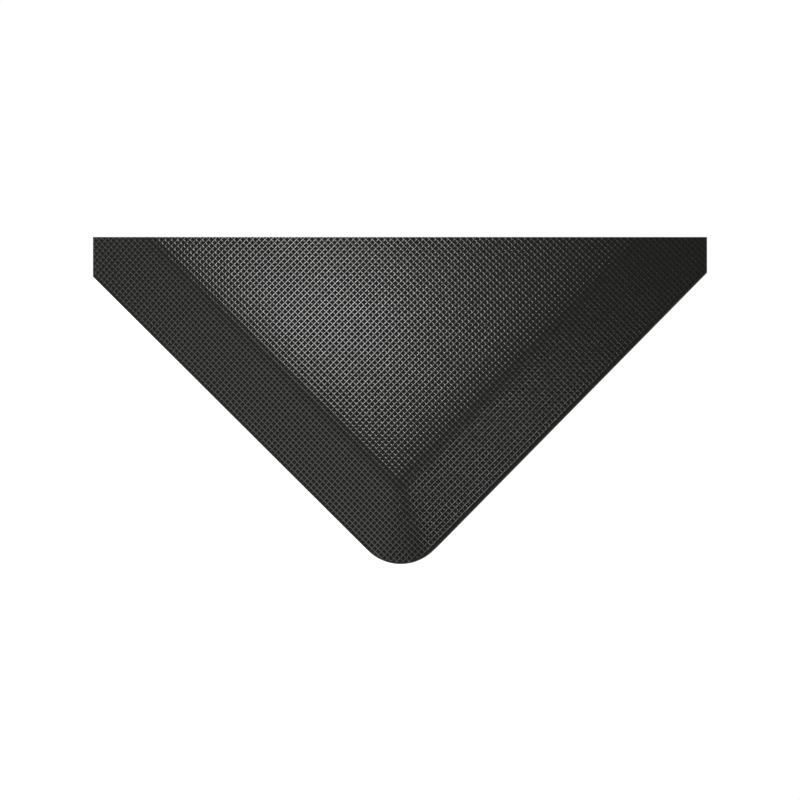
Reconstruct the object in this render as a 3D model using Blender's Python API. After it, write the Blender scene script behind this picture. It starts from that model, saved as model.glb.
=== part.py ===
"""Anti-fatigue mat: a wear layer, a foam core and a backing, laminated into one slab with four bevelled edges.

The origin is the middle of the underside. +X runs along the long side, +Y along the short side, +Z is up.
Every layer is a loft of rounded rectangles, because the corner radius shrinks from the rim to the top of the
bevel, so that the four slopes meet in a cone at each corner instead of in a sharp mitre.
"""

import math

import bmesh
import bpy

# Driving dimensions, in metres
LENGTH = 0.900
WIDTH = 0.600
HEIGHT = 0.01905
BACKING_THICKNESS = 0.0012
WEAR_THICKNESS = 0.0030
RIM_HEIGHT = 0.0042  # top of the thin outer rim, above the floor
RIM_ROUNDING = 0.0010  # round over the rim's upper edge
BEVEL_WIDTH = 0.0500  # the straight slope ends here, measured in from the outline
CREST_END = 0.0660  # the crest ends here, with a little slope left
CREST_SLOPE = 0.0350  # that rest of the slope
SHOULDER_END = 0.0950  # and here it has eased into the flat top
OUTLINE_RADIUS = 0.0410  # corners of the outline
SLOPE_FOOT_RADIUS = 0.0400  # corners at the foot of the bevel
SLOPE_TOP_RADIUS = 0.0040  # corners from the end of the crest inwards
CONTACT_WIDTH = 0.0040  # strip of the wear layer's rim that sits on the backing
BACKING_SETBACK = 0.0005  # the backing ends this far inside the rim
GAP = 0.0003  # between layers that touch

ARC_STEPS = 10  # faces round each corner
ROUNDING_STEPS = 3
CREST_STEPS = 6
SHOULDER_STEPS = 3

BASE = BACKING_THICKNESS + GAP  # underside of the wear layer and of the core
SLOPE_FOOT = RIM_ROUNDING
CREST_WIDTH = CREST_END - BEVEL_WIDTH
SHOULDER_WIDTH = SHOULDER_END - CREST_END
EASED_RISE = CREST_SLOPE * (CREST_WIDTH + SHOULDER_WIDTH) / 2
SLOPE = (HEIGHT - RIM_HEIGHT - EASED_RISE) / (BEVEL_WIDTH - SLOPE_FOOT + CREST_WIDTH / 2)


def top_height(inset):
    """Height of the walking surface at this distance inside the outline."""
    if inset <= BEVEL_WIDTH:
        return RIM_HEIGHT + SLOPE * (inset - SLOPE_FOOT)
    to_flat = min(max(SHOULDER_END - inset, 0.0), SHOULDER_WIDTH)
    to_crest_end = max(CREST_END - inset, 0.0)
    drop = CREST_SLOPE * to_flat**2 / (2 * SHOULDER_WIDTH)
    drop += CREST_SLOPE * to_crest_end + (SLOPE - CREST_SLOPE) * to_crest_end**2 / (2 * CREST_WIDTH)
    return HEIGHT - drop


def corner_radius(inset):
    """Corner radius of the walking surface's level line at this distance inside the outline."""
    share = min((inset - SLOPE_FOOT) / (CREST_END - SLOPE_FOOT), 1.0)
    return SLOPE_FOOT_RADIUS + (SLOPE_TOP_RADIUS - SLOPE_FOOT_RADIUS) * share


def rounded_rectangle(inset, radius):
    """Points of a level line, anticlockwise from above, with the same count for every inset and radius."""
    half_x = LENGTH / 2 - inset - radius
    half_y = WIDTH / 2 - inset - radius
    points = []
    for corner, (side_x, side_y) in enumerate([(1, 1), (-1, 1), (-1, -1), (1, -1)]):
        for step in range(ARC_STEPS + 1):
            angle = (corner + step / ARC_STEPS) * math.pi / 2
            x = side_x * half_x + radius * math.cos(angle)
            y = side_y * half_y + radius * math.sin(angle)
            points.append((x, y))
    return points


def slope_insets():
    """Insets from the wear layer's contact strip up the bevel, over the crest and the shoulder to the flat top."""
    crest = [BEVEL_WIDTH + CREST_WIDTH * i / CREST_STEPS for i in range(CREST_STEPS)]
    shoulder = [CREST_END + SHOULDER_WIDTH * i / SHOULDER_STEPS for i in range(SHOULDER_STEPS + 1)]
    return [CONTACT_WIDTH, BEVEL_WIDTH / 2, *crest, *shoulder]


def slope_rings(drop):
    """Level lines (inset, radius, height) of a surface that runs this far below the walking surface."""
    return [(inset, corner_radius(inset), top_height(inset) - drop) for inset in slope_insets()]


def material(name, color, roughness):
    made = bpy.data.materials.new(name)
    made.use_nodes = True
    shader = made.node_tree.nodes["Principled BSDF"]
    shader.inputs["Base Color"].default_value = (*color, 1.0)
    shader.inputs["Roughness"].default_value = roughness
    shader.inputs["Metallic"].default_value = 0.0
    return made


def loft(name, rings, finish, collection):
    """One closed solid through level lines (inset, radius, height), capped at the first and the last."""
    shape = bmesh.new()
    loops = []
    for inset, radius, height in rings:
        loops.append([shape.verts.new((x, y, height)) for x, y in rounded_rectangle(inset, radius)])
    count = len(loops[0])
    for lower, upper in zip(loops, loops[1:]):
        for i in range(count):
            j = (i + 1) % count
            shape.faces.new((lower[i], lower[j], upper[j], upper[i]))
    shape.faces.new(loops[0])
    shape.faces.new(loops[-1])
    bmesh.ops.recalc_face_normals(shape, faces=shape.faces)
    mesh = bpy.data.meshes.new(name)
    shape.to_mesh(mesh)
    shape.free()
    mesh.shade_smooth()
    mesh.set_sharp_from_angle(angle=math.radians(30))
    mesh.materials.append(finish)
    layer = bpy.data.objects.new(name, mesh)
    collection.objects.link(layer)
    return layer


def backing_rings():
    return [
        (BACKING_SETBACK, OUTLINE_RADIUS - BACKING_SETBACK, 0.0),
        (BACKING_SETBACK, OUTLINE_RADIUS - BACKING_SETBACK, BACKING_THICKNESS),
    ]


def core_rings():
    """From the core's flat underside, up its feathered edge and the bevel, to its flat top."""
    crown = slope_rings(WEAR_THICKNESS + GAP)[1:]
    foot = CONTACT_WIDTH + 4 * GAP
    foot_height = top_height(foot) - WEAR_THICKNESS - GAP
    foot_radius = corner_radius(foot)
    return [(foot, foot_radius, BASE), (foot, foot_radius, foot_height), *crown]


def wear_rings():
    """From the underside's flat middle, down and out to the rim, over its rounding and up the bevel."""
    underside = list(reversed(slope_rings(WEAR_THICKNESS)))
    contact = (CONTACT_WIDTH, corner_radius(CONTACT_WIDTH), BASE)
    rim = [(0.0, OUTLINE_RADIUS, BASE)]
    for step in range(ROUNDING_STEPS + 1):
        angle = step / ROUNDING_STEPS * math.pi / 2
        inset = RIM_ROUNDING * (1 - math.cos(angle))
        height = RIM_HEIGHT - RIM_ROUNDING * (1 - math.sin(angle))
        share = inset / RIM_ROUNDING
        rim.append((inset, OUTLINE_RADIUS + (SLOPE_FOOT_RADIUS - OUTLINE_RADIUS) * share, height))
    return [*underside, contact, *rim, *slope_rings(0.0)]


def build():
    for old in list(bpy.data.objects):
        bpy.data.objects.remove(old)
    mat = bpy.data.collections.new("anti_fatigue_mat")
    bpy.context.scene.collection.children.link(mat)
    vinyl = material("embossed_vinyl", (0.014, 0.014, 0.013), 0.42)
    foam = material("vinyl_sponge", (0.045, 0.045, 0.047), 0.95)
    grip = material("grip_rubber", (0.022, 0.022, 0.022), 0.75)
    loft("backing", backing_rings(), grip, mat)
    loft("foam_core", core_rings(), foam, mat)
    loft("wear_layer", wear_rings(), vinyl, mat)


build()
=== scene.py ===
"""Looks for the anti-fatigue mat: the embossed vinyl wear layer, the sponge core and the grooved backing.

The wear layer's grid is real geometry. One sheet would pass the size at which exported meshes are thinned, so
it is built as four quarters that meet on ridge tops, where their heights agree. The rounded look of the
ridges and the hollow look of the pockets come from custom normals. Units are metres.
"""

import math

import bmesh
import bpy
import numpy as np
from mathutils import Matrix, Vector

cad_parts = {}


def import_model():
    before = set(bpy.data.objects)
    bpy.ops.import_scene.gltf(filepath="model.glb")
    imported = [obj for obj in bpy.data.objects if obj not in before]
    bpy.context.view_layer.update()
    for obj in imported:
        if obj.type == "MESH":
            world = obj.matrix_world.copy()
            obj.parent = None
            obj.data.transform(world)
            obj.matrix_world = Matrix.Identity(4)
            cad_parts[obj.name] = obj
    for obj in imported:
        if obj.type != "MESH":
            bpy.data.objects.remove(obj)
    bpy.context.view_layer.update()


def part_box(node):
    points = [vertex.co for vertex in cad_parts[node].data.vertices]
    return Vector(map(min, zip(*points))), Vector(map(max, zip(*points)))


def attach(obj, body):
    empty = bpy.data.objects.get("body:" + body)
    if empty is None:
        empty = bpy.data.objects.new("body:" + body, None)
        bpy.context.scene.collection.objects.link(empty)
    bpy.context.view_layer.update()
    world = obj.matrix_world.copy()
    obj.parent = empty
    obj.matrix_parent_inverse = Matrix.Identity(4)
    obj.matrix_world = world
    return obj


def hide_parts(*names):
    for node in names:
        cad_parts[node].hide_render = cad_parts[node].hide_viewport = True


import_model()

# The CAD model's shape, from its box and its driving dimensions
LOW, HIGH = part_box("wear_layer")
LENGTH = HIGH.x - LOW.x
WIDTH = HIGH.y - LOW.y
HEIGHT = HIGH.z
BACKING_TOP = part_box("backing")[1].z
RIM_HEIGHT = 0.0042
RIM_ROUNDING = 0.0010
BEVEL_WIDTH = 0.0500
CREST_END = 0.0660
CREST_SLOPE = 0.0350
SHOULDER_END = 0.0950
OUTLINE_RADIUS = 0.0410
SLOPE_FOOT_RADIUS = 0.0400
SLOPE_TOP_RADIUS = 0.0040
WEAR_THICKNESS = 0.0030
CONTACT_WIDTH = 0.0040
CREST_WIDTH = CREST_END - BEVEL_WIDTH
SHOULDER_WIDTH = SHOULDER_END - CREST_END
EASED_RISE = CREST_SLOPE * (CREST_WIDTH + SHOULDER_WIDTH) / 2
SLOPE = (HEIGHT - RIM_HEIGHT - EASED_RISE) / (BEVEL_WIDTH - RIM_ROUNDING + CREST_WIDTH / 2)
BOND = 0.00005  # the layers are bonded, so only a hair of space is left between them

# The embossed grid: even numbers of cells, so that a ridge lies on each of the mat's middle lines
CELLS = (232, 148)
RIDGE_HALF = (0.00043, 0.00031)  # half the width of the tops of ridges at a constant X and at a constant Y
RIM_TRIM = 0.0005  # the grid ends this far inside the outline, where the rim rounds over
FADE_WIDTH = 0.0004  # the pattern dies out over this width inside that
POCKET_DEPTH = 0.00040
WALL_WIDTH = (0.00045, 0.00085)  # of the pocket walls that face along X and along Y
# How far the custom normals lean, as slopes
SEGMENT_LEAN = (0.10, 0.05)  # at the edges of a ridge, which is slightly rounded
SAG_LEAN = (0.06, 0.13)  # at the ends of a ridge between two crossings, where it dips a little
CROSSING_LEAN = 0.03  # at the corners of a crossing
WALL_TOP_LEAN = 0.60
WALL_FOOT_LEAN = 0.85
FLOOR_LEAN = 0.35  # at the corners of a pocket's hollow floor
# The share below also darkens these ridges' colour a little towards the pockets' painted shade.
SEGMENT_GLOSS = 0.97  # share of the full gloss that the ridges at a constant X have between crossings
UNEVENNESS = 0.007  # random lean of the ridges, from the embossing roll and wear
WAVINESS = 0.00035  # how far the flat top dips here and there

# The backing's grip pattern: square pads with V-shaped grooves between them
PADS = (74, 50)
GROOVE_HALF = 0.0012
GROOVE_DEPTH = 0.00035
GROOVE_END = 0.0040  # the grooves stop this far inside the outline
GROOVE_FADE = 0.0010
BACKING_SETBACK = 0.0005

ARC_FACETS = 28  # cuts that round off each corner of the outline
CUT_MARGIN = 0.010  # faces this near a corner's arc are cut
SEAM = 1e-6  # a place this near a middle line is on it
RIM_RINGS = (0.5, 0.85)  # shares of the trim at which extra rings round off the rim
STRAIGHT_RADIUS = 0.03  # any radius does for a place on a straight side
SHEET_SHARP = math.radians(50)
PLAIN_SHARP = math.radians(35)
CORE_SETBACK = 0.0012  # from the wear layer's contact strip to the core's feather edge
CORE_STEPS = 8  # level lines on each stretch of the core's slope
# The grid was embossed on the flat sheet, so its pitch is measured along the surface, longer on the slope
SLOPE_START = (BEVEL_WIDTH + CREST_END) / 2
STRETCH = math.hypot(1, SLOPE)
PITCH = tuple((side + 2 * SLOPE_START * (STRETCH - 1)) / n for side, n in zip((LENGTH, WIDTH), CELLS))


# ---------------------------------------------------------------- the mat's smooth shape

def corner_radius(inset):
    """Corner radius of the level line at this distance inside the outline."""
    rim = OUTLINE_RADIUS + (SLOPE_FOOT_RADIUS - OUTLINE_RADIUS) * inset / RIM_ROUNDING
    share = np.clip((inset - RIM_ROUNDING) / (CREST_END - RIM_ROUNDING), 0, 1)
    slope = SLOPE_FOOT_RADIUS + (SLOPE_TOP_RADIUS - SLOPE_FOOT_RADIUS) * share
    return np.where(inset < RIM_ROUNDING, rim, slope)


def beyond(x, y, inset, radius):
    """Distance from a rounded rectangle this far inside the outline, negative within it."""
    across = np.abs(x) - (LENGTH / 2 - inset - radius)
    along = np.abs(y) - (WIDTH / 2 - inset - radius)
    corner = np.hypot(np.maximum(across, 0), np.maximum(along, 0))
    return corner + np.minimum(np.maximum(across, along), 0) - radius


def bevel_inset(x, y):
    """How far inside the outline the level line through each point runs, by halving, up to the flat top."""
    low = np.zeros(np.shape(x))
    high = np.full(np.shape(x), SHOULDER_END)
    for _ in range(32):
        middle = (low + high) / 2
        inside = beyond(x, y, middle, corner_radius(middle)) < 0
        low = np.where(inside, middle, low)
        high = np.where(inside, high, middle)
    return (low + high) / 2


def profile(inset):
    """Height of the walking surface's ridge tops at this distance inside the outline."""
    rounding = 1 - np.clip(inset / RIM_ROUNDING, 0, 1)
    rim = RIM_HEIGHT - RIM_ROUNDING * (1 - np.sqrt(1 - rounding**2))
    slope = RIM_HEIGHT + SLOPE * (inset - RIM_ROUNDING)
    to_flat = np.clip(SHOULDER_END - inset, 0, SHOULDER_WIDTH)
    to_crest_end = np.maximum(CREST_END - inset, 0)
    eased = CREST_SLOPE * (to_flat**2 / SHOULDER_WIDTH / 2 + to_crest_end)
    eased += (SLOPE - CREST_SLOPE) * to_crest_end**2 / CREST_WIDTH / 2
    return np.where(inset < RIM_ROUNDING, rim, np.where(inset < BEVEL_WIDTH, slope, HEIGHT - eased))


def waves(x, y):
    """A share from 0 to 1 that rolls slowly over the mat, which never lies quite flat."""
    rolls = (
        np.sin(2 * math.pi * (x / 0.31 + y / 0.52) + 0.7)
        + np.sin(2 * math.pi * (y / 0.23 - x / 0.61) + 2.1)
        + np.sin(2 * math.pi * (x / 0.17 + y / 0.41) + 4.0) * 0.5
    )
    return 0.5 + rolls / 5


def surface(x, y):
    """Height of the ridge tops, with the mat's slight waviness, which dies out towards the rim."""
    inset = bevel_inset(x, y)
    return profile(inset) - WAVINESS * waves(x, y) * (inset / SHOULDER_END) ** 2


def gradient(x, y, step=0.0002):
    across = (surface(x + step, y) - surface(x - step, y)) / (2 * step)
    along = (surface(x, y + step) - surface(x, y - step)) / (2 * step)
    return across, along


# ---------------------------------------------------------------- grids

def unrolled(values, axis):
    """Places across the mat measured along its surface, from the middle line."""
    slope_start = (LENGTH, WIDTH)[axis] / 2 - SLOPE_START
    return np.abs(values) + np.maximum(np.abs(values) - slope_start, 0) * (STRETCH - 1)


def bar_lines(axis):
    """Places from 0 to the outline: the first bar's middle, then both edges of every bar, a pitch apart."""
    cells = np.arange(CELLS[axis] // 2)
    starts = cells * PITCH[axis] + RIDGE_HALF[axis]
    ends = (cells + 1) * PITCH[axis] - RIDGE_HALF[axis]
    edges = np.column_stack([starts, ends]).ravel()
    slope_start = (LENGTH, WIDTH)[axis] / 2 - SLOPE_START
    beyond_start = np.maximum(edges - slope_start, 0)
    return [0.0, *(edges - beyond_start * (1 - 1 / STRETCH))]


def sheet_cells(xs, ys, wall):
    """A flat mesh between those lines. Given wall widths, each cell between bars is a floor in four walls."""
    shape = bmesh.new()
    points = [[shape.verts.new((x, y, 0)) for x in xs] for y in ys]
    for j, (lower, upper) in enumerate(zip(points, points[1:])):
        for i in range(len(xs) - 1):
            around = [lower[i], lower[i + 1], upper[i + 1], upper[i]]
            if wall is None or i % 2 == 0 or j % 2 == 0:
                shape.faces.new(around)
                continue
            sides = ((xs[i] + wall[0], xs[i + 1] - wall[0]), (ys[j] + wall[1], ys[j + 1] - wall[1]))
            turns = ((0, 0), (1, 0), (1, 1), (0, 1))
            inner = [shape.verts.new((sides[0][h], sides[1][v], 0)) for h, v in turns]
            shape.faces.new(inner)
            for k in range(4):
                shape.faces.new((around[k], around[k - 3], inner[k - 3], inner[k]))
    return shape


def trimmed(shape, trim):
    """Cuts the flat quarter at +X +Y to the outline less a trim, and returns its points, faces and border."""
    middle = Vector((LENGTH / 2 - OUTLINE_RADIUS, WIDTH / 2 - OUTLINE_RADIUS, 0))
    start = middle - Vector((CUT_MARGIN, CUT_MARGIN, 0))
    near = [f for f in shape.faces if all(v.co.x > start.x and v.co.y > start.y for v in f.verts)]
    edges = dict.fromkeys(e for f in near for e in f.edges)  # not a set, whose order changes from run to run
    geometry = [*edges, *dict.fromkeys(v for f in near for v in f.verts), *near]
    for facet in range(ARC_FACETS):
        angle = (facet + 0.5) / ARC_FACETS * math.pi / 2
        away = Vector((math.cos(angle), math.sin(angle), 0))
        reach = (OUTLINE_RADIUS - trim) * math.cos(math.pi / 4 / ARC_FACETS)
        cut = bmesh.ops.bisect_plane(
            shape, geom=geometry, plane_co=middle + away * reach, plane_no=away, clear_outer=True, dist=2e-6
        )
        geometry = [g for g in cut["geom"] if g.is_valid]
    loose = [v for v in shape.verts if not v.link_faces]
    bmesh.ops.delete(shape, geom=loose, context="VERTS")
    shape.verts.index_update()
    places = np.array([v.co[:2] for v in shape.verts])
    faces = [[v.index for v in f.verts] for f in shape.faces]
    border = {v.index for e in shape.edges if e.is_boundary for v in e.verts}
    shape.free()
    return places, faces, border


def outward(places):
    """Unit directions out of the outline, for points near it in the quarter at +X +Y."""
    middle = np.array([LENGTH / 2 - OUTLINE_RADIUS, WIDTH / 2 - OUTLINE_RADIUS])
    away = np.maximum(places - middle, 0)
    return away / np.linalg.norm(away, axis=1, keepdims=True)


# ---------------------------------------------------------------- the wear layer

def offsets(values, pitch):
    """Signed distance of each value from the nearest bar's middle."""
    return values - np.round(values / pitch) * pitch


def from_ridge(values, axis):
    """Signed distance along the surface from the nearest ridge's middle, for coordinates of at least 0."""
    return offsets(unrolled(values, axis), PITCH[axis])


def into_pocket(values, axis):
    """How far each place has come down a pocket's wall, from below 0 on a ridge to above 1 on the floor."""
    return (np.abs(from_ridge(values, axis)) - RIDGE_HALF[axis]) / WALL_WIDTH[axis]


def fading(x, y):
    """A share that takes the pattern out at the very edge."""
    return np.clip((-beyond(x, y, 0, OUTLINE_RADIUS) - RIM_TRIM) / FADE_WIDTH, 0, 1)


def emboss(places, faces):
    """Pocket depth at each point, and each face corner's lean in X and Y and how far it is ridge."""
    x, y = places.T
    down = np.clip(np.minimum(into_pocket(x, 0), into_pocket(y, 1)), 0, 1)
    corner = np.concatenate(faces)
    sizes = [len(face) for face in faces]
    middle = np.add.reduceat(places[corner], np.cumsum([0, *sizes[:-1]])) / np.array(sizes)[:, None]
    middle = np.repeat(middle, sizes, axis=0)
    deep = np.array([into_pocket(middle[:, axis], axis) for axis in (0, 1)])
    crossing = (deep < 0).all(axis=0)
    pocket = (deep > 0).all(axis=0)
    floor = pocket & (deep > 1).all(axis=0)
    leans = []
    for axis in (0, 1):
        offset = from_ridge(places[corner, axis], axis)
        side = np.sign(from_ridge(middle[:, axis], axis))
        foot = np.clip(into_pocket(places[corner, axis], axis), 0, 1)
        wall = pocket & ~floor & (deep[axis] < deep[1 - axis])
        across = offset / RIDGE_HALF[axis]
        lean = np.where(deep[axis] < 0, SEGMENT_LEAN[axis] * across, 0)
        sags = (deep[1 - axis] < 0) & ~crossing
        lean = np.where(sags, SAG_LEAN[axis] * np.sign(offset), lean)
        lean = np.where(crossing, CROSSING_LEAN * across, lean)
        lean = np.where(wall, side * (WALL_TOP_LEAN + (WALL_FOOT_LEAN - WALL_TOP_LEAN) * foot), lean)
        lean = np.where(floor, np.sign(offset) * FLOOR_LEAN, lean)
        leans.append(lean)
    fade = fading(x, y)
    # The ridge share sets the gloss, and it also mixes the colour towards the pockets' darker colour, which
    # is painted shade.
    ridge = np.where(pocket, 0.0, np.where((deep[1] > 0) & (deep[0] < 0), SEGMENT_GLOSS, 1.0))
    ridge = 1 - (1 - ridge) * fade[corner]
    return POCKET_DEPTH * down * fade, np.array(leans) * fade[corner], ridge


class Quarter:
    """The parts of the wear layer that its four quarters share."""

    def __init__(self):
        cells = sheet_cells(bar_lines(0), bar_lines(1), WALL_WIDTH)
        self.places, self.faces, border = trimmed(cells, RIM_TRIM)
        x, y = self.places.T
        self.corner = np.concatenate(self.faces)
        self.depth, self.leans, self.ridge = emboss(self.places, self.faces)
        chance = np.random.default_rng(5)
        for axis in (0, 1):
            uneven = chance.normal(0, UNEVENNESS, len(x)) * (self.places[:, axis] > SEAM)
            self.leans[axis] += uneven[self.corner]
        edge = [i for i in border if x[i] > SEAM and y[i] > SEAM]
        seams = [i for i in border if min(x[i], y[i]) <= SEAM]
        ends = [i for i in seams if beyond(x[i], y[i], RIM_TRIM, STRAIGHT_RADIUS) > -1e-5]
        self.rim = sorted({*edge, *ends}, key=lambda i: math.atan2(y[i], x[i]))
        self.along_x = sorted((i for i in border if y[i] <= SEAM), key=lambda i: -x[i])
        self.along_y = sorted((i for i in border if x[i] <= SEAM), key=lambda i: y[i])
        self.rings = self.make_rings()

    def make_rings(self):
        """Rings of points that close the quarter from its rim down and under, as (places, drop or height)."""
        rim = self.places[self.rim]
        away = outward(rim)
        rings = []
        for share in RIM_RINGS:
            rings.append((rim + away * RIM_TRIM * share, None))
        edge = rim + away * RIM_TRIM
        rings.append((edge, RIM_HEIGHT - RIM_ROUNDING))
        rings.append((edge, BACKING_TOP + BOND))
        rings.append((self.level(rim, away, CONTACT_WIDTH), BACKING_TOP + BOND))
        for inset in (CONTACT_WIDTH, BEVEL_WIDTH, (BEVEL_WIDTH + CREST_END) / 2, CREST_END, SHOULDER_END):
            height = float(profile(np.array(inset))) - WEAR_THICKNESS
            rings.append((self.level(rim, away, inset), height))
        return rings

    def level(self, rim, away, inset):
        """The points of a level line that the rim's points run in to."""
        radius = float(corner_radius(np.array(inset)))
        outer = np.array([LENGTH, WIDTH]) / 2 - OUTLINE_RADIUS
        inner = np.array([LENGTH, WIDTH]) / 2 - inset - radius
        return np.minimum(rim, outer) * inner / outer + away * radius

    def build(self, name, side_x, side_y, finish):
        """One quarter as a closed solid, mirrored to its own corner of the mat."""
        x, y = self.places.T * np.array([[side_x], [side_y]])
        points = [np.column_stack([x, y, surface(x, y) - self.depth])]
        loops = [self.rim]
        for places, height in self.rings:
            ring_x, ring_y = places.T * np.array([[side_x], [side_y]])
            heights = surface(ring_x, ring_y) if height is None else np.full(len(places), height)
            start = sum(map(len, points))
            points.append(np.column_stack([ring_x, ring_y, heights]))
            loops.append(list(range(start, start + len(places))))
        middle = sum(map(len, points))
        points.append(np.array([[0, 0, HEIGHT - WEAR_THICKNESS]]))
        faces = list(self.faces)
        for upper, lower in zip(loops, loops[1:]):
            for i in range(len(upper) - 1):
                faces.append([lower[i], lower[i + 1], upper[i + 1], upper[i]])
        faces.append([middle, *reversed(loops[-1])])
        faces.append([middle, *(loop[0] for loop in reversed(loops[1:])), *self.along_x])
        faces.append([*(loop[-1] for loop in loops[1:]), middle, *self.along_y])
        if side_x * side_y < 0:
            faces = [face[::-1] for face in faces]
        mesh = bpy.data.meshes.new(name)
        mesh.from_pydata(np.concatenate(points).tolist(), [], faces)
        ridge = mesh.attributes.new("ridge", "FLOAT", "CORNER")
        share = np.ones(len(mesh.loops), np.float32)
        share[: len(self.ridge)] = self.ridge[self.order(side_x * side_y < 0)]
        ridge.data.foreach_set("value", share)
        mesh.materials.append(finish)
        mesh.shade_smooth()
        mesh.set_sharp_from_angle(angle=SHEET_SHARP)
        self.set_normals(mesh, x, y, side_x, side_y)
        piece = bpy.data.objects.new(name, mesh)
        bpy.context.scene.collection.objects.link(piece)
        return piece

    def order(self, turned):
        """The face corners' numbers in the mesh's order. A mirrored quarter's faces are turned over."""
        if not turned:
            return np.arange(len(self.corner))
        starts = np.cumsum([0, *(len(face) for face in self.faces)])
        return np.concatenate([np.arange(end - 1, start - 1, -1) for start, end in zip(starts, starts[1:])])

    def set_normals(self, mesh, x, y, side_x, side_y):
        """Gives the embossed faces the normals of slightly rounded ridges and hollow pockets."""
        slope = np.column_stack(gradient(x, y))[self.corner]
        lean = (self.leans * np.array([[side_x], [side_y]])).T
        normals = np.column_stack([lean - slope, np.ones(len(slope))])
        normals /= np.linalg.norm(normals, axis=1, keepdims=True)
        wanted = np.zeros((len(mesh.loops), 3), np.float32)
        wanted[: len(normals)] = normals[self.order(side_x * side_y < 0)]
        mesh.normals_split_custom_set(wanted.tolist())


# ---------------------------------------------------------------- core and backing

def level_line(inset, radius, steps):
    """Points of a rounded rectangle, anticlockwise from above."""
    half_x = LENGTH / 2 - inset - radius
    half_y = WIDTH / 2 - inset - radius
    points = []
    for corner, (side_x, side_y) in enumerate([(1, 1), (-1, 1), (-1, -1), (1, -1)]):
        for step in range(steps + 1):
            angle = (corner + step / steps) * math.pi / 2
            x = side_x * half_x + radius * math.cos(angle)
            y = side_y * half_y + radius * math.sin(angle)
            points.append((x, y))
    return points


def foam_core(finish):
    """The sponge, skived to a feather edge, as a loft of level lines under the wear layer."""
    base = BACKING_TOP + BOND
    foot = CONTACT_WIDTH + CORE_SETBACK
    stops = [foot, BEVEL_WIDTH, CREST_END, SHOULDER_END]
    stretches = [np.linspace(low, high, CORE_STEPS + 1)[1:] for low, high in zip(stops, stops[1:])]
    insets = [foot, *np.concatenate(stretches)]
    rings = [(foot, base)]
    for inset in insets:
        rings.append((inset, float(profile(np.array(inset))) - WEAR_THICKNESS - BOND - WAVINESS))
    shape = bmesh.new()
    loops = []
    for inset, height in rings:
        radius = float(corner_radius(np.array(inset)))
        loops.append([shape.verts.new((x, y, height)) for x, y in level_line(inset, radius, 16)])
    for lower, upper in zip(loops, loops[1:]):
        for i in range(len(lower)):
            j = (i + 1) % len(lower)
            shape.faces.new((lower[i], lower[j], upper[j], upper[i]))
    shape.faces.new(loops[0][::-1])
    shape.faces.new(loops[-1])
    return as_piece("sponge_core", shape, finish)


def groove_lines(end, pitch):
    """Places from 0 to end: the middle and both edges of every groove."""
    sides = (-GROOVE_HALF, 0, GROOVE_HALF)
    places = {cell * pitch + side for cell in range(round(end / pitch)) for side in sides}
    return sorted({place for place in places if place >= 0} | {end})


def backing(finish):
    """The grip sheet: pads flat on the floor, grooves between them, closed by its side and its upper face."""
    pitches = (LENGTH / PADS[0], WIDTH / PADS[1])
    xs, ys = (
        groove_lines(size / 2 - BACKING_SETBACK, pitch) for size, pitch in zip((LENGTH, WIDTH), pitches)
    )
    places, faces, _ = trimmed(sheet_cells(xs, ys, None), BACKING_SETBACK)
    x, y = places.T
    groove = np.maximum(
        1 - np.abs(offsets(x, pitches[0])) / GROOVE_HALF, 1 - np.abs(offsets(y, pitches[1])) / GROOVE_HALF
    )
    fade = np.clip(-beyond(x, y, GROOVE_END, OUTLINE_RADIUS - GROOVE_END) / GROOVE_FADE, 0, 1)
    heights = GROOVE_DEPTH * np.clip(groove, 0, 1) * fade
    shape = bmesh.new()
    points = [shape.verts.new((px, py, pz)) for px, py, pz in zip(x, y, heights)]
    for face in faces:
        shape.faces.new([points[i] for i in reversed(face)])
    for axis in ("X", "Y"):
        whole = shape.verts[:] + shape.edges[:] + shape.faces[:]
        bmesh.ops.mirror(shape, geom=whole, matrix=Matrix(), merge_dist=SEAM, axis=axis)
    bmesh.ops.recalc_face_normals(shape, faces=shape.faces)
    if sum(f.normal.z for f in shape.faces) > 0:
        bmesh.ops.reverse_faces(shape, faces=shape.faces)
    border = [e for e in shape.edges if e.is_boundary]
    side = bmesh.ops.extrude_edge_only(shape, edges=border)["geom"]
    for vert in (g for g in side if isinstance(g, bmesh.types.BMVert)):
        vert.co.z = BACKING_TOP
    bmesh.ops.holes_fill(shape, edges=[e for e in shape.edges if e.is_boundary])
    bmesh.ops.recalc_face_normals(shape, faces=shape.faces)
    return as_piece("grip_backing", shape, finish)


def as_piece(name, shape, finish):
    mesh = bpy.data.meshes.new(name)
    shape.to_mesh(mesh)
    shape.free()
    mesh.shade_smooth()
    mesh.set_sharp_from_angle(angle=PLAIN_SHARP)
    mesh.materials.append(finish)
    piece = bpy.data.objects.new(name, mesh)
    bpy.context.scene.collection.objects.link(piece)
    return piece


# ---------------------------------------------------------------- materials

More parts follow.
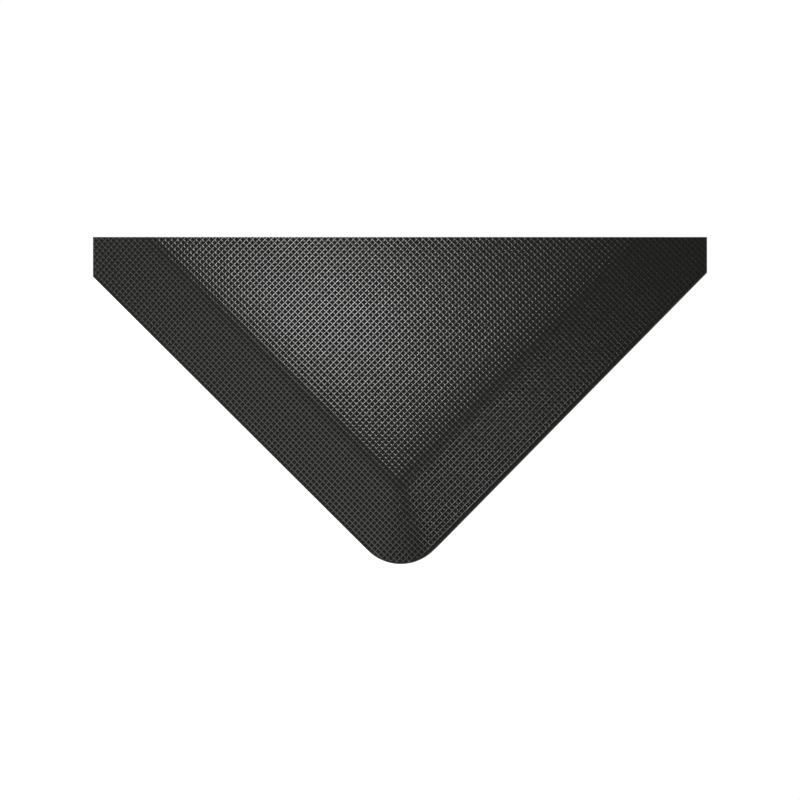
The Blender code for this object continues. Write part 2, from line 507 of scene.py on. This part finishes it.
class Nodes:
    """A short way to write a material's node tree."""

    def __init__(self, name):
        self.material = bpy.data.materials.new(name)
        self.material.use_nodes = True
        self.tree = self.material.node_tree
        self.shader = self.tree.nodes["Principled BSDF"]
        self.place = self.tree.nodes.new("ShaderNodeTexCoord").outputs["Object"]

    def add(self, kind, settings=(), **inputs):
        """A node with its settings; each input is a value or another node's output."""
        node = self.tree.nodes.new(kind)
        for key, value in dict(settings).items():
            setattr(node, key, value)
        for key, value in inputs.items():
            self.put(node.inputs[key.replace("_", " ")], value)
        return node

    def put(self, socket, value):
        if isinstance(value, bpy.types.NodeSocket):
            self.tree.links.new(value, socket)
        else:
            socket.default_value = value

    def noise(self, scale, detail=3.0, roughness=0.5):
        inputs = {"Vector": self.place, "Scale": scale, "Detail": detail, "Roughness": roughness}
        node = self.add("ShaderNodeTexNoise", **inputs)
        return node.outputs["Fac"]

    def cells(self, scale, feature="F1"):
        node = self.add("ShaderNodeTexVoronoi", {"feature": feature}, Vector=self.place, Scale=scale)
        return node.outputs["Distance"]

    def spread(self, value, low, high, to_low=0.0, to_high=1.0):
        """value, taken from between low and high to between to_low and to_high."""
        node = self.add("ShaderNodeMapRange", {"clamp": True}, Value=value)
        for key, number in zip(("From Min", "From Max", "To Min", "To Max"), (low, high, to_low, to_high)):
            self.put(node.inputs[key], number)
        return node.outputs["Result"]

    def maths(self, operation, first, second):
        node = self.add("ShaderNodeMath", {"operation": operation})
        self.put(node.inputs[0], first)
        self.put(node.inputs[1], second)
        return node.outputs["Value"]

    def mix(self, share, first, second):
        """A colour between two colours."""
        node = self.add("ShaderNodeMix", {"data_type": "RGBA"})
        self.put(node.inputs["Factor"], share)
        for socket, value in ((node.inputs[6], first), (node.inputs[7], second)):
            self.put(socket, value if isinstance(value, bpy.types.NodeSocket) else (*value, 1.0))
        return node.outputs[2]

    def bump(self, height, strength, distance, under=None):
        node = self.add("ShaderNodeBump", Height=height, Strength=strength, Distance=distance)
        if under is not None:
            self.put(node.inputs["Normal"], under)
        return node.outputs["Normal"]

    def finish(self, **inputs):
        for key, value in inputs.items():
            self.put(self.shader.inputs[key.replace("_", " ")], value)
        return self.material


def vinyl():
    """Black vinyl: satin on the ridges, dull in the pockets, with a fine pressed grain and slight scuffs. The
    pockets' darker colour is painted shade.
    """
    n = Nodes("embossed_vinyl")
    ridge = n.add("ShaderNodeAttribute", {"attribute_name": "ridge"}).outputs["Fac"]
    cloud = n.noise(9.0, 3.0, 0.55)
    scuff = n.spread(n.noise(160.0, 4.0, 0.7), 0.45, 0.75)
    # Painted shade: the pockets get a darker colour than the ridges, standing for the shade that falls in
    # them.
    painted_shade_pocket_colour = n.mix(cloud, (0.0040, 0.0042, 0.0035), (0.0064, 0.0066, 0.0056))
    ridge_colour = n.mix(cloud, (0.0100, 0.0103, 0.0092), (0.0150, 0.0153, 0.0138))
    worn_colour = n.mix(n.maths("MULTIPLY", scuff, 0.35), ridge_colour, (0.026, 0.026, 0.024))
    colour = n.mix(ridge, painted_shade_pocket_colour, worn_colour)
    gloss = n.spread(ridge, 0.0, 1.0, 0.90, 0.24)
    patchy = n.spread(cloud, 0.3, 0.7, -0.02, 0.02)
    roughness = n.maths("ADD", n.maths("ADD", gloss, patchy), n.maths("MULTIPLY", scuff, 0.05))
    grain = n.bump(n.noise(2600.0, 2.0, 0.5), 0.12, 0.00005)
    return n.finish(Base_Color=colour, Roughness=roughness, Normal=grain, IOR=1.52)


def sponge():
    """Charcoal closed-cell sponge with open cells on its cut faces."""
    n = Nodes("vinyl_sponge")
    cells = n.cells(1400.0)
    large = n.cells(420.0)
    colour = n.mix(n.spread(cells, 0.1, 0.6), (0.030, 0.030, 0.031), (0.060, 0.060, 0.062))
    tone = n.mix(n.spread(n.noise(14.0), 0.35, 0.65), colour, (0.048, 0.048, 0.049))
    rough = n.spread(n.noise(90.0), 0.3, 0.7, 0.86, 0.98)
    bump = n.bump(large, 0.5, 0.0005, n.bump(cells, 0.8, 0.0003))
    return n.finish(Base_Color=tone, Roughness=rough, Normal=bump)


def grip():
    """Dull black grip sheet with a fine pebble."""
    n = Nodes("grip_rubber")
    pebble = n.cells(900.0, "SMOOTH_F1")
    colour = n.mix(n.noise(30.0), (0.014, 0.014, 0.014), (0.030, 0.030, 0.029))
    rough = n.spread(pebble, 0.1, 0.6, 0.62, 0.85)
    return n.finish(Base_Color=colour, Roughness=rough, Normal=n.bump(pebble, 0.6, 0.0002))


# ---------------------------------------------------------------- camera, light and floor

# The camera looks down on one corner with a long lens. It leans towards the mat's front edge, and it is
# turned so that the corner points down the picture.
LEAN = math.radians(12.3)
TURN = math.radians(45.47)
PICTURE_WIDTH = 0.7010  # seen through the middle of the picture
CORNER_TO_AIM = Vector((0.1132, 0.1158, 0.0))  # from the outline's sharp corner, on the floor
LENS_MM = 204.0
SENSOR_MM = 36.0
DISTANCE = PICTURE_WIDTH / SENSOR_MM * LENS_MM
TOWARDS = Vector((0, -math.sin(LEAN), math.cos(LEAN)))  # from the aim point to the camera
ALONG_X = Vector((1, 0, 0))
ALONG_Y = TOWARDS.cross(ALONG_X)
RIGHT = ALONG_X * math.cos(TURN) - ALONG_Y * math.sin(TURN)
UP = ALONG_X * math.sin(TURN) + ALONG_Y * math.cos(TURN)
AIM = Vector((-LENGTH / 2, -WIDTH / 2, 0)) + CORNER_TO_AIM

# The small lamps hang where their reflections fall on chosen places of the main view, which gives its sheen.
# Those places are measured right and up from the middle of the picture. Powers are in watts.
LAMP_HEIGHT = 0.9
SHEEN_SIZE = (0.10, 0.15)
SLOPE_SIZE = (0.08, 0.08)
# Lamps for the flat top: name, right, up, power
SHEEN_LAMPS = (("sheen", -0.064, 0.073, 3.0), ("sheen_back", -0.131, 0.137, 0.35))
# Lamps for the slopes: name, right, up, how far over in X and Y for each metre of height, power
SLOPE_LAMPS = (
    ("front", 0.080, -0.044, (0.0, -0.31), 0.40),
    ("near", 0.038, -0.084, (0.0, -0.30), 0.52),
    ("crest", 0.035, -0.045, (0.0, -0.03), 0.15),
    ("corner", 0.000, -0.110, (-0.33, -0.14), 0.28),
)
# One large panel from the left
LEFT_PLACE = (-1.4, 0.3, 1.9)  # from the aim point
LEFT_SIZE = 1.4
LEFT_POWER = 13.5
ROOM_COLOUR = (0.144, 0.143, 0.132, 1)
WHITE = (1, 1, 1, 1)

# The floor
FLOOR_HALF = 12
FLOOR_DROP = 0.0002
FLOOR_GLOW = 0.90

# The white cards: where they trim the main view, measured from the middle of the picture
TRIM_ABOVE = 0.1428
TRIM_BESIDE = 0.2690
CARD_GAP = 0.02  # from the lens to the cards
CARD_REACH = 0.75  # how far the cards go on past the middle, in picture widths


def camera():
    lens = bpy.data.cameras.new("camera")
    lens.sensor_width = SENSOR_MM
    lens.lens = LENS_MM
    lens.clip_start = 0.002
    view = bpy.data.objects.new("camera", lens)
    turned = Matrix((RIGHT, UP, TOWARDS)).transposed().to_4x4()
    view.matrix_world = Matrix.Translation(AIM + TOWARDS * DISTANCE) @ turned
    bpy.context.scene.collection.objects.link(view)
    bpy.context.scene.camera = view


def mirrored(right, up, height):
    """The place at this height that a level mirror on the floor would show here in the picture."""
    eye = AIM + TOWARDS * DISTANCE
    sight = AIM + RIGHT * right + UP * up - eye
    spot = eye - sight * (eye.z / sight.z)
    return spot - Vector((sight.x, sight.y, -sight.z)) * (height / sight.z)


def panel(name, place, size_x, size_y, power, target):
    """A rectangular light that faces its target. Its first side runs along the mat's long side."""
    lamp = bpy.data.lights.new(name, "AREA")
    lamp.shape = "RECTANGLE"
    lamp.size = size_x
    lamp.size_y = size_y
    lamp.energy = power
    light = bpy.data.objects.new(name, lamp)
    light.visible_camera = False
    back = (place - target).normalized()
    side = (ALONG_X - back * back.x).normalized()
    turned = Matrix((side, back.cross(side), back)).transposed().to_4x4()
    light.matrix_world = Matrix.Translation(place) @ turned
    bpy.context.scene.collection.objects.link(light)


def lights():
    down = Vector((0, 0, -1))
    for name, right, up, power in SHEEN_LAMPS:
        place = mirrored(right, up, LAMP_HEIGHT)
        panel(name, place, *SHEEN_SIZE, power, place + down)
    for name, right, up, lean, power in SLOPE_LAMPS:
        place = mirrored(right, up, 0.0) + Vector((*lean, 1)) * LAMP_HEIGHT
        panel(name, place, *SLOPE_SIZE, power, place + down)
    panel("left", AIM + Vector(LEFT_PLACE), LEFT_SIZE, LEFT_SIZE, LEFT_POWER, AIM)


def world():
    """A pale room: white where the camera looks into it, and evenly dim as a light."""
    room = bpy.data.worlds.new("room")
    room.use_nodes = True
    tree = room.node_tree
    tree.nodes.clear()
    lit = tree.nodes.new("ShaderNodeBackground")
    lit.inputs["Color"].default_value = ROOM_COLOUR
    seen = tree.nodes.new("ShaderNodeBackground")
    seen.inputs["Color"].default_value = WHITE
    path = tree.nodes.new("ShaderNodeLightPath")
    choose = tree.nodes.new("ShaderNodeMixShader")
    tree.links.new(path.outputs["Is Camera Ray"], choose.inputs["Fac"])
    tree.links.new(lit.outputs["Background"], choose.inputs[1])
    tree.links.new(seen.outputs["Background"], choose.inputs[2])
    tree.links.new(choose.outputs["Shader"], tree.nodes.new("ShaderNodeOutputWorld").inputs["Surface"])
    bpy.context.scene.world = room


def floor():
    """A white floor that glows a little, so that it stays white beside the mat."""
    n = Nodes("white_floor")
    n.finish(Base_Color=(0.9, 0.9, 0.9, 1), Roughness=0.9, Emission_Color=WHITE, Emission_Strength=FLOOR_GLOW)
    n.shader.inputs["Specular IOR Level"].default_value = 0.0
    shape = bmesh.new()
    bmesh.ops.create_grid(shape, x_segments=1, y_segments=1, size=FLOOR_HALF)
    ground = as_piece("floor", shape, n.material)
    ground.location.z = -FLOOR_DROP


def matte():
    """White cards just in front of the lens, which hide all of the mat but one corner in the main view.

    They are a mask, not part of the mat. Without them the mat runs on to the frame's edges in the main view.
    """
    scale = CARD_GAP / DISTANCE
    far = PICTURE_WIDTH * CARD_REACH
    cards = [
        (-far, far, TRIM_ABOVE, far),
        (-far, -TRIM_BESIDE, -far, TRIM_ABOVE),
        (TRIM_BESIDE, far, -far, TRIM_ABOVE),
    ]
    centre = AIM + TOWARDS * (DISTANCE - CARD_GAP)
    shape = bmesh.new()
    for left, right, low, high in cards:
        corners = [(left, low), (right, low), (right, high), (left, high)]
        shape.faces.new([shape.verts.new(centre + (RIGHT * x + UP * y) * scale) for x, y in corners])
    white = Nodes("white_card")
    white.finish(Base_Color=(0, 0, 0, 1), Emission_Color=WHITE, Emission_Strength=1.0)
    card = as_piece("white_card", shape, white.material)
    for ray in ("diffuse", "glossy", "transmission", "volume_scatter", "shadow"):
        setattr(card, "visible_" + ray, False)


# ---------------------------------------------------------------- assembly

def main():
    camera()
    lights()
    world()
    floor()
    matte()
    bpy.context.scene.view_settings.view_transform = "Standard"

    black = vinyl()
    quarter = Quarter()
    for side_y, row in ((-1, "front"), (1, "back")):
        for side_x, column in ((-1, "left"), (1, "right")):
            sheet = quarter.build(f"wear_sheet_{row}_{column}", side_x, side_y, black)
            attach(sheet, "root")
            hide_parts("wear_layer")

    core = foam_core(sponge())
    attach(core, "root")
    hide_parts("foam_core")

    base = backing(grip())
    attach(base, "root")
    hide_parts("backing")


main()
